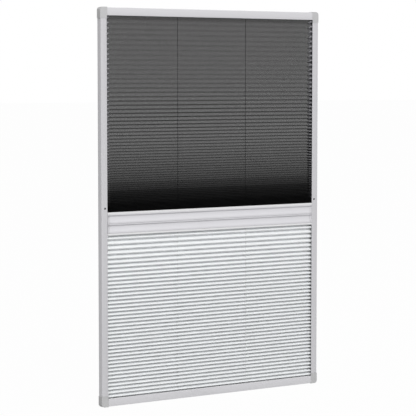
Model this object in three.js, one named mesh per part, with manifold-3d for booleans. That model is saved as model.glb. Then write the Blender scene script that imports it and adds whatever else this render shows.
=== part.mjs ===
// Pleated insect screen for a window: an aluminium frame with two sliding handle bars.
// Black pleated mesh hangs between the top rail and the upper bar. A white pleated shade
// stands between the lower bar and the bottom rail. Each bar is kept level by two cords that
// run through the pleats, cross inside the bar and end in the corners of the frame.
// Millimetres, +Z up, front towards -Y, origin in the middle of the bottom rail's underside.

import * as THREE from 'three';
import { mergeVertices } from 'three/addons/utils/BufferGeometryUtils.js';
import Module from 'manifold-3d';

const wasm = await Module();
wasm.setup();

// Whole screen
const screenWidth = 800;
const screenHeight = 1200;
const frameDepth = 20;
const seatGap = 0.3;
const runningGap = 0.4;
const overrun = 2;
const mergeDistance = 0.0001;

// Stile and rail extrusions: a closed outer chamber and a channel open to the inside
const stileFace = 21;
const railFace = 24;
const frameWall = 1.4;
const frameEdgeRadius = 1.2;
const chamberWidth = 6.6;
const lipReturn = 0.8;
const lipThickness = 1.2;

// Moulded corner connectors
const cornerProud = 1.6;
const cornerRadius = 10;
const cornerOverStile = 8;
const legLength = 40;
const legRoot = 3;
const legBarbCount = 5;
const legBarbHeight = 0.7;

// Handle bars
const meetingHeight = 553;
const barMeetingGap = 0.5;
const barHeight = 28.4;
const barWall = 1.4;
const barEdgeRadius = 0.6;
const grooveDepth = 3.9;
const grooveUpperLand = 3.4;
const grooveLowerLand = 5.5;
const grooveRootShare = 0.3;
const grooveLipShare = 0.2;
const slotWidth = 3.6;
const slotDepth = 2.8;
const clipHeight = 6;
const clipWall = 1.3;
const clipInset = 0.5;
const clipChamfer = 0.8;
const capLength = 7;
const capRim = 0.6;
const capSideGap = 0.6;
const shoeEdge = 3;
const shoeNoseRadius = 2;

// Pleated sheets. The shares give the pitch along the sheet, as parts of its first pitch.
const meshPleatCount = 63;
const meshPitchShares = [1, 0.81, 0.56, 0.36, 0.18];
const meshFoldWidth = 15;
const meshThickness = 0.3;
const shadePleatCount = 42;
const shadePitchShares = [1, 0.785, 0.745, 0.73, 0.76];
const shadeFoldWidth = 14.8;
const shadeThickness = 0.4;
const sheetInset = 14.5;
const stripThickness = 2;
const stripChamfer = 0.5;

// Tension cords, their eyelets, stops and cleats
const cordDiameter = 1.2;
const cordLaneShare = 0.36;
const cordInset = 10.2;
const cordColumnShare = 1 / 3;
const cordBendRadius = 3;
const cordOutletRadius = 2.6;
const cordOutletTail = 3;
const eyeletWall = 0.9;
const eyeletFlangeWidth = 1.2;
const eyeletFlangeHeight = 1;
const stopRadius = 2.2;
const stopHeight = 4;
const cleatRadius = 1.9;
const cleatHeight = 5.4;

// Fixing screws at half height in both stiles
const screwInset = 12.6;
const screwShankRadius = 1.5;
const screwHeadRadius = 3.3;
const screwHeadHeight = 1;
const screwSink = 0.2;

// Facets
const cordSides = 8;
const holeSides = 3;
const roundSides = 14;
const edgeSteps = 3;
const grooveSteps = 8;
const bendSteps = 5;
const cornerSteps = 6;
const capSteps = 3;

// Places that follow from the sizes above
const halfWidth = screenWidth / 2;
const halfDepth = frameDepth / 2;
const channelHalf = halfDepth - frameWall;
const lipHalf = channelHalf - lipReturn;
const channelFloor = frameWall + chamberWidth + frameWall;
const cornerAlongRail = stileFace + cornerProud;
const cornerAlongStile = railFace + cornerOverStile;
const openingHalf = halfWidth - stileFace;
const barEnd = openingHalf - capSideGap;
const profileHalf = barEnd - capLength - seatGap;
const barMiddle = barHeight / 2;
const barCeiling = barHeight - slotDepth - barWall;
const clipBase = barHeight + seatGap;
const sheetHalf = halfWidth - sheetInset;
const cordRadius = cordDiameter / 2;
const cordBore = cordRadius + seatGap;
const cordColumn = openingHalf * cordColumnShare;
const cordLane = (halfDepth - grooveDepth - barWall) * cordLaneShare;
const stripFace = channelFloor + seatGap + stripThickness;
const meshBarBase = meetingHeight + barMeetingGap / 2;
const shadeBarBase = meetingHeight - barMeetingGap / 2;
const sheetOffset = clipBase + clipHeight + seatGap;
const eyeletRadius = cordBore + eyeletWall;
const eyeletFlangeRadius = eyeletRadius + eyeletFlangeWidth;

// Finishes
const finish = (color, roughness, metalness) => ({ color, roughness, metalness });
const coatedAluminium = finish(0xcdcdcf, 0.45, 0.1);
const greyPlastic = finish(0xc6c6c5, 0.55, 0);
const whitePlastic = finish(0xe9e9ea, 0.5, 0);
const blackMesh = finish(0x17171a, 0.85, 0);
const whiteShade = finish(0xf2f4f6, 0.9, 0);
const blackCord = finish(0x1f1f22, 0.8, 0);
const whiteCord = finish(0xe6e6e2, 0.8, 0);
const steel = finish(0x7c7e82, 0.35, 0.9);

const screen = new THREE.Group();

function addPiece(group, name, geometry, look) {
  const piece = new THREE.Mesh(geometry, new THREE.MeshStandardMaterial(look));
  piece.name = name;
  group.add(piece);
  return piece;
}

// Points of an arc, with its angles in turns
function arcPoints(centreU, centreV, radius, fromTurn, toTurn, steps) {
  const points = [];
  for (let i = 0; i <= steps; i += 1) {
    const angle = 2 * Math.PI * (fromTurn + (toTurn - fromTurn) * i / steps);
    points.push([centreU + radius * Math.cos(angle), centreV + radius * Math.sin(angle)]);
  }
  return points;
}

function shapeOf(points) {
  return new THREE.Shape(points.map(([u, v]) => new THREE.Vector2(u, v)));
}

function extruded(shape, length) {
  return new THREE.ExtrudeGeometry(shape, { depth: length, bevelEnabled: false, steps: 1 });
}

// Section in X and Y, carried up from a height
function uprightPrism(shape, bottom, top) {
  return extruded(shape, top - bottom).translate(0, 0, bottom);
}

// Section in Y and Z, carried along X
function levelPrism(shape, fromX, toX) {
  const axes = new THREE.Matrix4().makeBasis(
    new THREE.Vector3(0, 1, 0),
    new THREE.Vector3(0, 0, 1),
    new THREE.Vector3(1, 0, 0)
  );
  return extruded(shape, toX - fromX).applyMatrix4(axes).translate(fromX, 0, 0);
}

// Outline in X and Z, carried through the depth, centred on Y = 0
function frontPrism(shape, depth) {
  return extruded(shape, depth).rotateX(Math.PI / 2).translate(0, depth / 2, 0);
}

function boxBetween(low, high) {
  const size = high.map((value, i) => value - low[i]);
  const middle = high.map((value, i) => (value + low[i]) / 2);
  return new THREE.BoxGeometry(...size).translate(...middle);
}

function uprightRod(radius, x, y, bottom, top, sides) {
  const rod = new THREE.CylinderGeometry(radius, radius, top - bottom, sides);
  return rod.rotateX(Math.PI / 2).translate(x, y, (bottom + top) / 2);
}

// A turned piece: rows of radius and height, closed on itself, with its axis along Z
function turned(rows, sides) {
  const profile = [...rows, rows[0]].map(([radius, height]) => new THREE.Vector2(radius, height));
  return new THREE.LatheGeometry(profile, sides).rotateX(Math.PI / 2);
}

function toSolid(geometry) {
  const bare = geometry.clone();
  bare.deleteAttribute('normal');
  bare.deleteAttribute('uv');
  const merged = mergeVertices(bare, mergeDistance);
  const faces = [];
  for (let i = 0; i < merged.index.count; i += 3) {
    const [a, b, c] = merged.index.array.slice(i, i + 3);
    if (a !== b && b !== c && c !== a) {
      faces.push(a, b, c);
    }
  }
  return new wasm.Manifold(new wasm.Mesh({
    numProp: 3,
    vertProperties: new Float32Array(merged.attributes.position.array),
    triVerts: new Uint32Array(faces)
  }));
}

function toGeometry(solid) {
  const mesh = solid.getMesh();
  const geometry = new THREE.BufferGeometry();
  geometry.setAttribute('position', new THREE.BufferAttribute(mesh.vertProperties, 3));
  geometry.setIndex(new THREE.BufferAttribute(mesh.triVerts, 1));
  geometry.computeVertexNormals();
  return geometry;
}

function cut(base, ...tools) {
  return toGeometry(tools.reduce((solid, tool) => solid.subtract(toSolid(tool)), toSolid(base)));
}

function join(...pieces) {
  return toGeometry(pieces.slice(1).reduce((solid, next) => solid.add(toSolid(next)), toSolid(pieces[0])));
}

// Skin between cross-sections with the same number of points, closed by flat ends
function lofted(sections, endFaces) {
  const ring = sections[0].length;
  const faces = [];
  for (let row = 0; row < sections.length - 1; row += 1) {
    for (let i = 0; i < ring; i += 1) {
      const a = row * ring + i;
      const b = row * ring + (i + 1) % ring;
      faces.push(a, b, b + ring, a, b + ring, a + ring);
    }
  }
  const lastRing = (sections.length - 1) * ring;
  endFaces(sections[0]).forEach(([a, b, c]) => faces.push(a, c, b));
  endFaces(sections.at(-1)).forEach((face) => faces.push(...face.map((i) => lastRing + i)));
  const geometry = new THREE.BufferGeometry();
  geometry.setAttribute('position', new THREE.Float32BufferAttribute(sections.flat(2), 3));
  geometry.setIndex(faces);
  return geometry;
}

function outlineFaces(section) {
  return THREE.ShapeUtils.triangulateShape(section.map(([, y, z]) => new THREE.Vector2(y, z)), []);
}

// Section of a frame extrusion: u runs from the outer face inwards, v through the depth
function frameSection(face, place) {
  const radius = frameEdgeRadius;
  const outline = [
    ...arcPoints(radius, radius - halfDepth, radius, 0.5, 0.75, edgeSteps),
    ...arcPoints(face - radius, radius - halfDepth, radius, 0.75, 1, edgeSteps),
    [face, -lipHalf],
    [face - lipThickness, -lipHalf],
    [face - lipThickness, -channelHalf],
    [channelFloor, -channelHalf],
    [channelFloor, channelHalf],
    [face - lipThickness, channelHalf],
    [face - lipThickness, lipHalf],
    [face, lipHalf],
    [face, halfDepth],
    [0, halfDepth]
  ];
  return shapeOf(outline.map(place));
}

// Section of the closed chamber in it
function chamberSection(place) {
  return shapeOf([
    [frameWall, -channelHalf],
    [frameWall + chamberWidth, -channelHalf],
    [frameWall + chamberWidth, channelHalf],
    [frameWall, channelHalf]
  ].map(place));
}

function addStile(name, side) {
  const place = ([u, v]) => [side * (halfWidth - u), v];
  const bottom = cornerAlongStile + seatGap;
  const top = screenHeight - bottom;
  const body = uprightPrism(frameSection(stileFace, place), bottom, top);
  const chamber = uprightPrism(chamberSection(place), bottom - overrun, top + overrun);
  const clearance = seatGap;
  const sink = turned([
    [0, -overrun],
    [screwHeadRadius + clearance, -overrun],
    [screwHeadRadius + clearance, screwSink],
    [screwShankRadius + clearance, screwSink + screwHeadHeight],
    [screwShankRadius + clearance, frameDepth + overrun],
    [0, frameDepth + overrun]
  ], roundSides);
  sink.rotateX(-Math.PI / 2).translate(side * (halfWidth - screwInset), -halfDepth, screenHeight / 2);
  addPiece(screen, name, cut(body, chamber, sink), coatedAluminium);
}

function addRail(name, end) {
  const heightOf = (u) => (end > 0 ? screenHeight - u : u);
  const place = ([u, v]) => [v, heightOf(u)];
  const reach = halfWidth - cornerAlongRail - seatGap;
  const body = levelPrism(frameSection(railFace, place), -reach, reach);
  const chamber = levelPrism(chamberSection(place), -reach - overrun, reach + overrun);
  const floorHeights = [heightOf(frameWall + chamberWidth / 2), heightOf(channelFloor + overrun)];
  const holes = cordPlaces(end).map(([x, y]) => (
    uprightRod(cordBore, x, y, Math.min(...floorHeights), Math.max(...floorHeights), cordSides)
  ));
  addPiece(screen, name, cut(body, chamber, ...holes), coatedAluminium);
}

// Where the two cords of a bar pass through the pleats. The lower bar is the upper one turned over.
function cordPlaces(end) {
  return [[-cordColumn, -end * cordLane], [cordColumn, end * cordLane]];
}

// Push-in leg with barbs on its edges: along runs from the corner, across through the depth
function legOutline() {
  const half = channelHalf - seatGap;
  const barbPitch = legLength / (legBarbCount + 1);
  const edge = [[-legRoot, half - legBarbHeight]];
  for (let i = 0; i < legBarbCount; i += 1) {
    edge.push([barbPitch * (i + 1), half]);
    edge.push([barbPitch * (i + 1), half - legBarbHeight]);
  }
  edge.push([legLength, half - 2 * legBarbHeight]);
  const mirrored = edge.map(([along, across]) => [along, -across]).reverse();
  return [...edge, ...mirrored];
}

// The corner is drawn at the bottom left, measured from the outer faces of stile and rail
function cornerGeometry() {
  const inner = cornerProud;
  const outline = [
    ...arcPoints(cornerRadius - cornerProud, cornerRadius - cornerProud, cornerRadius, 0.5, 0.75, cornerSteps),
    [cornerAlongRail, -cornerProud],
    ...arcPoints(stileFace + inner, railFace + inner, inner, 0.75, 0.5, edgeSteps),
    [stileFace, cornerAlongStile],
    [-cornerProud, cornerAlongStile]
  ];
  const body = frontPrism(shapeOf(outline), frameDepth);
  const channel = boxBetween(
    [channelFloor, -channelHalf, channelFloor],
    [cornerAlongRail + overrun, channelHalf, cornerAlongStile + overrun]
  );
  const cleatHole = uprightRod(
    cleatRadius + seatGap,
    cordInset,
    cordLane,
    channelFloor - cleatHeight - 2 * seatGap,
    channelFloor + overrun,
    roundSides
  );
  const legThickness = chamberWidth - 2 * seatGap;
  const legOffset = frameWall + seatGap;
  const stileLeg = extruded(shapeOf(legOutline()), legThickness);
  stileLeg.applyMatrix4(new THREE.Matrix4().makeBasis(
    new THREE.Vector3(0, 0, 1),
    new THREE.Vector3(0, 1, 0),
    new THREE.Vector3(-1, 0, 0)
  )).translate(legOffset + legThickness, 0, cornerAlongStile);
  const railLeg = extruded(shapeOf(legOutline()), legThickness);
  railLeg.translate(cornerAlongRail, 0, legOffset);
  return cut(join(body, stileLeg, railLeg), channel, cleatHole).translate(-halfWidth, 0, -screenHeight / 2);
}

// One moulding serves all four corners, turned half round about an axis of the screen
function addCorners() {
  const corners = new THREE.Group();
  corners.position.set(0, 0, screenHeight / 2);
  const turns = {
    corner_bottom_left: [0, 0, 0],
    corner_bottom_right: [0, 0, Math.PI],
    corner_top_left: [Math.PI, 0, 0],
    corner_top_right: [0, Math.PI, 0]
  };
  for (const [name, turn] of Object.entries(turns)) {
    addPiece(corners, name, cornerGeometry(), greyPlastic).rotation.set(...turn);
  }
  screen.add(corners);
}

function addScrew(name, side) {
  const screw = turned([
    [0, screwSink],
    [screwHeadRadius, screwSink],
    [screwShankRadius, screwSink + screwHeadHeight],
    [screwShankRadius, frameDepth - seatGap],
    [0, frameDepth - seatGap]
  ], roundSides);
  screw.rotateX(-Math.PI / 2).translate(side * (halfWidth - screwInset), -halfDepth, screenHeight / 2);
  addPiece(screen, name, screw, steel);
}

// Flat strips in the rails that hold the fixed ends of the sheets
function addRailStrip(name, end, look) {
  const half = channelHalf - seatGap;
  const inner = channelFloor + seatGap;
  const outline = [
    [-half, inner],
    [half, inner],
    [half, stripFace - stripChamfer],
    [half - stripChamfer, stripFace],
    [stripChamfer - half, stripFace],
    [-half, stripFace - stripChamfer]
  ];
  const heightOf = (u) => (end > 0 ? screenHeight - u : u);
  const body = levelPrism(shapeOf(outline.map(([v, u]) => [v, heightOf(u)])), -sheetHalf, sheetHalf);
  const heights = [heightOf(inner - overrun), heightOf(stripFace + overrun)];
  const holes = cordPlaces(end).map(([x, y]) => (
    uprightRod(cordBore, x, y, Math.min(...heights), Math.max(...heights), cordSides)
  ));
  addPiece(screen, name, cut(body, ...holes), look);
}

function shareAt(shares, place) {
  const scaled = place * (shares.length - 1);
  const index = Math.min(Math.floor(scaled), shares.length - 2);
  return shares[index] + (shares[index + 1] - shares[index]) * (scaled - index);
}

// Pleated sheet between two heights: a flat first layer, then pleats, then a flat last layer.
// A fold is as wide as the fabric between two creases, so closer pleats lie deeper. Each crease
// has one point on its outer ridge and one in its inner corner, where the two layers meet.
function pleatedSheet(topHeight, bottomHeight, count, pitchShares, foldWidth, thickness, end) {
  const shares = Array.from({ length: count }, (_, i) => shareAt(pitchShares, i / (count - 1)));
  const fullHeight = topHeight - bottomHeight - thickness;
  const firstPitch = fullHeight / shares.reduce((sum, share) => sum + share, 0);
  const reachOf = (pitch) => Math.sqrt(foldWidth * foldWidth - pitch * pitch / 4) / 2;
  let height = topHeight - thickness / 2;
  const creases = [[reachOf(firstPitch), height], [-reachOf(firstPitch), height]];
  for (const share of shares) {
    const pitch = firstPitch * share;
    creases.push([reachOf(pitch), height - pitch / 2]);
    height -= pitch;
    creases.push([-reachOf(pitch), height]);
  }
  creases.push([reachOf(firstPitch * shares.at(-1)), height]);
  const slopeAfter = (i) => (creases[i][1] - creases[i + 1][1]) / Math.abs(creases[i][0] - creases[i + 1][0]);
  const edge = thickness / 2;
  const sections = creases.map(([y, z], i) => {
    let front = [y, z + edge];
    let back = [y, z - edge];
    if (i === creases.length - 1) {
      [front, back] = [back, front];
    } else if (i > 0) {
      const inset = thickness / (slopeAfter(i - 1) + slopeAfter(i));
      const inner = [y - Math.sign(y) * inset, z + edge - slopeAfter(i) * inset];
      [front, back] = y < 0 ? [[y, z], inner] : [inner, [y, z]];
    }
    return [[-sheetHalf, ...front], [-sheetHalf, ...back], [sheetHalf, ...back], [sheetHalf, ...front]];
  });
  const sheet = lofted(sections, () => [[0, 1, 2], [0, 2, 3]]);
  const holes = cordPlaces(end).map(([x, y]) => (
    uprightRod(2 * cordBore, x, y, bottomHeight - overrun, topHeight + overrun, holeSides)
  ));
  return cut(sheet, ...holes);
}

// A section's points from the bottom up, mirrored in height for the bar that is turned over
function heldUpright(points, turnedOver) {
  return turnedOver ? points.map(([y, z]) => [y, barHeight - z]).reverse() : points;
}

// Long arc of a finger groove, which starts on the face at the lower land and ends at the root
function grooveArc(depth, wall) {
  const top = barHeight - grooveUpperLand - depth * grooveRootShare;
  const rise = top - grooveLowerLand;
  const radius = (rise * rise + depth * depth) / (2 * depth);
  const sweep = Math.asin(rise / radius) / (2 * Math.PI);
  return arcPoints(halfDepth - depth + radius, top, radius + wall, 0.5 + sweep, 0.5, grooveSteps);
}

// Finger groove from its foot up: the long arc, the root under the ledge and the ledge's lip
function groovePoints(depth) {
  const root = depth * grooveRootShare;
  const lip = depth * grooveLipShare;
  const ledge = barHeight - grooveUpperLand;
  return [
    ...grooveArc(depth, 0),
    ...arcPoints(halfDepth - depth + root, ledge - root, root, 0.5, 0.25, edgeSteps).slice(1),
    ...arcPoints(halfDepth - lip, ledge + lip, lip, 0.75, 1, edgeSteps)
  ];
}

// Outer outline of a handle bar: a finger groove on both faces, and a slot on top
function barOutline(depth, turnedOver) {
  const edge = barEdgeRadius;
  const right = [
    ...arcPoints(halfDepth - edge, edge, edge, -0.25, 0, edgeSteps),
    ...heldUpright(groovePoints(depth), turnedOver),
    ...arcPoints(halfDepth - edge, barHeight - edge, edge, 0, 0.25, edgeSteps),
    [slotWidth / 2, barHeight],
    [slotWidth / 2, barHeight - slotDepth]
  ];
  const left = right.map(([y, z]) => [-y, z]).reverse();
  return [...right, ...left];
}

// Hollow of the bar: a plain channel less the walls that stand behind the finger grooves
function barHollow(turnedOver) {
  const half = profileHalf + overrun;
  const wallFace = halfDepth - barWall;
  const channel = levelPrism(shapeOf([
    [wallFace, barWall],
    [wallFace, barCeiling],
    [-wallFace, barCeiling],
    [-wallFace, barWall]
  ]), -half, half);
  const behindGroove = heldUpright([
    ...grooveArc(grooveDepth, barWall),
    [wallFace - grooveDepth, barHeight],
    [halfDepth, barHeight]
  ], turnedOver);
  const walls = [1, -1].map((side) => (
    levelPrism(shapeOf(behindGroove.map(([y, z]) => [side * y, z])), -half - overrun, half + overrun)
  ));
  return cut(channel, ...walls);
}

// Clip strip on a bar: a hollow rail with a foot that slides into the bar's slot
function clipOutline() {
  const half = halfDepth - clipInset;
  const top = clipBase + clipHeight;
  const footHalf = slotWidth / 2 - seatGap;
  const right = [
    [footHalf, barHeight - slotDepth + seatGap],
    [footHalf, top - clipWall],
    [half - clipWall, top - clipWall],
    [half - clipWall, clipBase],
    [half, clipBase],
    [half, top - clipChamfer],
    [half - clipChamfer, top]
  ];
  const left = right.map(([y, z]) => [-y, z]).reverse();
  return [...right, ...left];
}

// End cap at the left: the grooves run out in a scoop, and a shoe reaches into the stile
function capGeometry(turnedOver) {
  const sections = [];
  for (let i = 0; i <= capSteps; i += 1) {
    const turn = Math.PI / 2 * i / capSteps;
    const x = -barEnd + capLength * (1 - Math.cos(turn));
    const depth = capRim + (grooveDepth - capRim) * Math.sin(turn);
    sections.push(barOutline(depth, turnedOver).map(([y, z]) => [x, y, z]));
  }
  const tip = -(halfWidth - sheetInset - seatGap);
  const root = -barEnd + capRim;
  const nose = shoeNoseRadius;
  const shoe = frontPrism(shapeOf([
    ...arcPoints(tip + nose, shoeEdge + nose, nose, 0.5, 0.75, edgeSteps),
    [root, shoeEdge],
    [root, barHeight - shoeEdge - slotDepth],
    ...arcPoints(tip + nose, barHeight - shoeEdge - slotDepth - nose, nose, 0.25, 0.5, edgeSteps)
  ]), 2 * (lipHalf - runningGap));
  const bore = uprightRod(cordBore, 0, 0, 0, 2 * capLength + overrun + sheetInset, cordSides);
  bore.rotateY(-Math.PI / 2).translate(-barEnd + capLength + overrun, cordLane, barMiddle);
  return cut(join(lofted(sections, outlineFaces), shoe), bore);
}

// A route given by points, walked one point at a time
class Route extends THREE.Curve {
  constructor(points) {
    super();
    this.points = points.map((point) => new THREE.Vector3(...point));
  }

  getPoint(place) {
    const scaled = place * (this.points.length - 1);
    const index = Math.min(Math.floor(scaled), this.points.length - 2);
    return this.points[index].clone().lerp(this.points[index + 1], scaled - index);
  }

  getPointAt(place) {
    return this.getPoint(place);
  }

  getTangentAt(place) {
    const index = Math.round(place * (this.points.length - 1));
    const before = this.points[Math.max(index - 1, 0)];
    const after = this.points[Math.min(index + 1, this.points.length - 1)];
    return after.clone().sub(before).normalize();
  }
}

function cordAlong(points) {
  const section = shapeOf(arcPoints(0, 0, cordRadius, 0, 1, cordSides).slice(0, cordSides));
  const path = new Route(points);
  return new THREE.ExtrudeGeometry(section, {
    steps: points.length - 1,
    extrudePath: path,
    bevelEnabled: false
  });
}

// Cord inside a bar: in at its column, across to the far end, out of the shoe and round into
// the stile. It is drawn for the cord that leaves on the right, in its own lane.
function barCord(lane) {
  const bend = cordBendRadius;
  const outlet = cordOutletRadius;
  const column = -cordColumn;
  const stile = halfWidth - cordInset;
  const inward = arcPoints(column + bend, barMiddle + bend, bend, 0.5, 0.75, bendSteps);
  const outward = arcPoints(stile - outlet, barMiddle - outlet, outlet, 0.25, 0, bendSteps);
  const places = [
    [column, clipBase + clipHeight - seatGap],
    ...inward,
    ...outward,
    [stile, barMiddle - outlet - cordOutletTail]
  ];
  return cordAlong(places.map(([x, z]) => [x, lane, z]));
}

// Eyelet that lines the cord's hole into the bar, with a flange held between clip and bar
function eyeletGeometry() {
  const top = clipBase + clipHeight - seatGap;
  return turned([
    [cordBore, barCeiling],
    [eyeletRadius, barCeiling],
    [eyeletRadius, clipBase],
    [eyeletFlangeRadius, clipBase],
    [eyeletFlangeRadius, clipBase + eyeletFlangeHeight],
    [eyeletRadius, clipBase + eyeletFlangeHeight],
    [eyeletRadius, top],
    [cordBore, top]
  ], roundSides);
}

// Everything that slides with one bar, drawn for the upper bar from the meeting face up
function addBar(name, base, turnedOver, barLook, clipLook, cordLook) {
  const bar = new THREE.Group();
  bar.position.set(0, 0, base);
  bar.rotation.set(turnedOver ? Math.PI : 0, 0, 0);
  const columns = [[-cordColumn, -cordLane], [cordColumn, cordLane]];
  const bores = (radius, bottom, top) => columns.map(([x, y]) => (
    uprightRod(radius + seatGap, x, y, bottom, top, roundSides)
  ));
  const clipTop = clipBase + clipHeight;
  const eyeletBores = () => bores(eyeletRadius, barCeiling - seatGap, clipTop + overrun);
  const flangeBores = bores(eyeletFlangeRadius, barHeight, clipBase + eyeletFlangeHeight + seatGap);
  const profile = levelPrism(shapeOf(barOutline(grooveDepth, turnedOver)), -profileHalf, profileHalf);
  addPiece(bar, `${name}_bar_profile`, cut(profile, barHollow(turnedOver), ...eyeletBores()), barLook);
  const clip = levelPrism(shapeOf(clipOutline()), -barEnd, barEnd);
  addPiece(bar, `${name}_bar_clip`, cut(clip, ...eyeletBores(), ...flangeBores), clipLook);
  addPiece(bar, `${name}_bar_left_cap`, capGeometry(turnedOver), greyPlastic);
  const rightCap = addPiece(bar, `${name}_bar_right_cap`, capGeometry(turnedOver), greyPlastic);
  rightCap.rotation.set(0, 0, Math.PI);
  columns.forEach(([x, y], i) => {
    addPiece(bar, `${name}_bar_eyelet_${i + 1}`, eyeletGeometry(), whitePlastic).position.set(x, y, 0);
  });
  addPiece(bar, `${name}_cord_1_bar_run`, barCord(-cordLane), cordLook);
  addPiece(bar, `${name}_cord_2_bar_run`, barCord(-cordLane), cordLook).rotation.set(0, 0, Math.PI);
  screen.add(bar);
}

// The stretches of a bar's two cords that the frame carries, with their stops and cleats
function addFrameCords(name, end, base, cordLook) {
  const heightOf = (u) => (end > 0 ? screenHeight - u : u);
  const between = (a, b) => [Math.min(a, b), Math.max(a, b)];
  const stopSeat = frameWall + chamberWidth - seatGap;
  const outletEnd = base + end * (barMiddle - cordOutletRadius - cordOutletTail - seatGap);
  const barEntry = base + end * (clipBase + clipHeight);
  const farHeight = (u) => (end > 0 ? u : screenHeight - u);
  const cleatFloor = channelFloor - cleatHeight - seatGap;
  cordPlaces(end).forEach(([x, y], i) => {
    const label = `${name}_cord_${i + 1}`;
    const side = -Math.sign(x);
    const stileX = side * (halfWidth - cordInset);
    const pleatRun = between(barEntry, heightOf(stopSeat - stopHeight + seatGap));
    addPiece(screen, `${label}_pleat_run`, uprightRod(cordRadius, x, y, ...pleatRun, cordSides), cordLook);
    const stileRun = between(outletEnd, farHeight(cleatFloor + seatGap));
    addPiece(screen, `${label}_stile_run`, uprightRod(cordRadius, stileX, y, ...stileRun, cordSides), cordLook);
    const ring = (radius, height) => turned([
      [cordBore, 0],
      [radius, 0],
      [radius, height],
      [cordBore, height]
    ], roundSides);
    const stop = ring(stopRadius, stopHeight);
    stop.translate(x, y, between(heightOf(stopSeat), heightOf(stopSeat - stopHeight))[0]);
    addPiece(screen, `${label}_stop`, stop, whitePlastic);
    const cleat = ring(cleatRadius, cleatHeight);
    cleat.translate(stileX, y, between(farHeight(cleatFloor), farHeight(cleatFloor + cleatHeight))[0]);
    addPiece(screen, `${label}_cleat`, cleat, whitePlastic);
  });
}

addStile('left_stile', -1);
addStile('right_stile', 1);
addRail('top_rail', 1);
addRail('bottom_rail', -1);
addCorners();
addScrew('left_fixing_screw', -1);
addScrew('right_fixing_screw', 1);
addRailStrip('mesh_head_strip', 1, whitePlastic);
addRailStrip('shade_foot_strip', -1, whitePlastic);

const meshSheet = pleatedSheet(
  screenHeight - stripFace - seatGap,
  meshBarBase + sheetOffset,
  meshPleatCount,
  meshPitchShares,
  meshFoldWidth,
  meshThickness,
  1
);
addPiece(screen, 'mesh_pleats', meshSheet, blackMesh);

const shadeSheet = pleatedSheet(
  shadeBarBase - sheetOffset,
  stripFace + seatGap,
  shadePleatCount,
  shadePitchShares,
  shadeFoldWidth,
  shadeThickness,
  -1
);
addPiece(screen, 'shade_pleats', shadeSheet, whiteShade);

addBar('mesh', meshBarBase, false, coatedAluminium, whitePlastic, blackCord);
addBar('shade', shadeBarBase, true, coatedAluminium, whitePlastic, whiteCord);
addFrameCords('mesh', 1, meshBarBase, blackCord);
addFrameCords('shade', -1, shadeBarBase, whiteCord);

export default screen;
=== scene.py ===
"""Looks of the pleated insect screen, laid out as a Blender add-on.

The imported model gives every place. Sizes here are in metres, in the model's own frame: +Z up,
the front towards -Y. The pleated sheets, cords and screws are surfaces worked out with numpy.
The extrusions and mouldings keep the model's own solids, and get finishes of their own.
"""

import math

import bpy
import numpy as np
from bpy.props import FloatProperty, FloatVectorProperty, IntProperty, PointerProperty
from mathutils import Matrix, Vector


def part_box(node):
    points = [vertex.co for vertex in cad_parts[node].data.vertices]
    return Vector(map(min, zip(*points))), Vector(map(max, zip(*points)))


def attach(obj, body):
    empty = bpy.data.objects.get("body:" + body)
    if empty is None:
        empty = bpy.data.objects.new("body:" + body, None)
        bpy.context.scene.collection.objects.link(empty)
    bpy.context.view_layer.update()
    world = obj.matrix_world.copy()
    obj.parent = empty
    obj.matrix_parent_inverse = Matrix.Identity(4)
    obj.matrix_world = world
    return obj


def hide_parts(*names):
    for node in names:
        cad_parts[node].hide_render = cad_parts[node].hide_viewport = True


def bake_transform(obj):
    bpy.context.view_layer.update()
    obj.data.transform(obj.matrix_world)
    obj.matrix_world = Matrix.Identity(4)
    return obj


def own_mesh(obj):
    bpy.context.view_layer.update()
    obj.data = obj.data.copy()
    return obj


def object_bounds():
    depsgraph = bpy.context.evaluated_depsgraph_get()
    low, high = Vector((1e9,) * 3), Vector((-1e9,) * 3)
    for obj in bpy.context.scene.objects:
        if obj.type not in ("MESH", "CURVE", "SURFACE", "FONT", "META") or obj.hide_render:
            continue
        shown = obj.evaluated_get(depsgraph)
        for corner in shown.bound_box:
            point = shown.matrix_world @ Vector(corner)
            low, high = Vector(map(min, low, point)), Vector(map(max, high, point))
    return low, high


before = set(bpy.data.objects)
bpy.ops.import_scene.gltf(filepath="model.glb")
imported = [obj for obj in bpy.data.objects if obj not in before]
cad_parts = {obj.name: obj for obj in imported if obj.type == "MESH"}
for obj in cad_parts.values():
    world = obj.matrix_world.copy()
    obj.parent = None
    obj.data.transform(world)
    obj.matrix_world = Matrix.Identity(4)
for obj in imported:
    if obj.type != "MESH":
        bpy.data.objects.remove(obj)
CAD_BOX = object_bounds()

bl_info = {
    "name": "Pleated insect screen",
    "version": (1, 0, 0),
    "blender": (4, 5, 0),
    "location": "View3D > Sidebar > Screen",
    "description": "Builds the looks of a framed pleated insect screen and shade",
    "category": "Add Mesh",
}


def metres(name, description, default):
    return FloatProperty(name=name, description=description, default=default, unit="LENGTH", precision=5)


def number(name, description, default):
    return FloatProperty(name=name, description=description, default=default, precision=3)


def count(name, description, default):
    return IntProperty(name=name, description=description, default=default)


def shares(name, description, default):
    return FloatVectorProperty(name=name, description=description, default=default, size=len(default))


def colour(name, description, default):
    return FloatVectorProperty(
        name=name, description=description, default=default, size=3, subtype="COLOR", min=0, max=1)


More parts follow.
